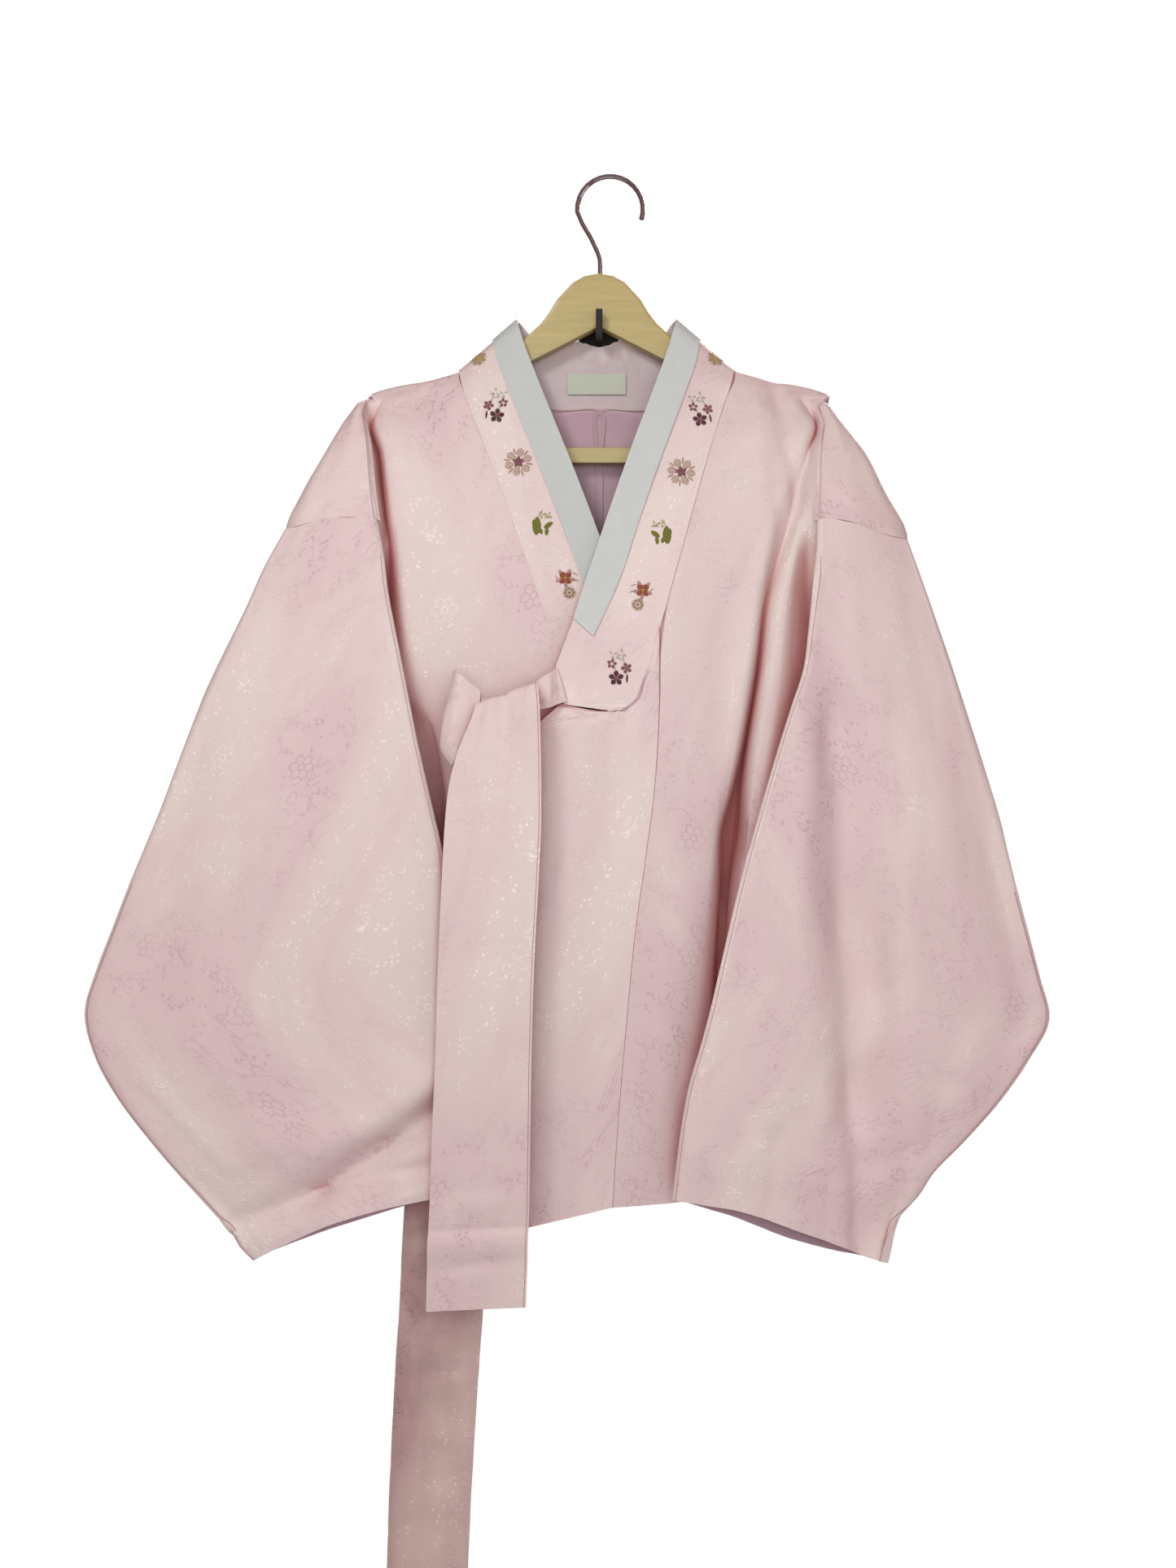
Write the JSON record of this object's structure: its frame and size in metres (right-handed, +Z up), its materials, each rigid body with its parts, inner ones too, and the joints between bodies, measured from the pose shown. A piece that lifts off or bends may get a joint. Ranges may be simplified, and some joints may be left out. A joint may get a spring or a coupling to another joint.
{
  "type": "hanbok jacket on a wooden hanger and wall hook",
  "caption": "Short wrap-front hanbok jacket with wide curved sleeves, white collar strip and a long one-loop bow, hanging on a flat wooden hanger from a wall hook.",
  "frame": {"origin": "middle of the wall plate's back face, where the wall holds everything up", "axes": "+X to the viewer's right, +Y into the wall, +Z up"},
  "size_m": [0.709, 0.1038, 1.0937],
  "materials": {
    "silk": "pale pink satin jacquard",
    "strip": "matt white cotton-like strip",
    "label": "plain woven label",
    "wood": "clear satin lacquer on pale plywood",
    "chrome": "polished wire",
    "black": "satin black paint"
  },
  "bodies": {
    "root": {"sleeve_left": "silk", "sleeve_right": "silk", "front_left": "silk", "front_right": "silk", "back_left": "silk", "back_right": "silk", "overlap_outer": "silk", "overlap_inner": "silk", "collar": "silk", "collar_strip": "strip", "tie_short": "silk", "tie_long": "silk", "tie_root": "silk", "bow_loop": "silk", "bow_knot": "silk", "neck_label": "label", "hanger_board": "wood", "trouser_bar": "wood", "wire_hook": "chrome", "wall_hook": "black"}
  },
  "joints": []
}
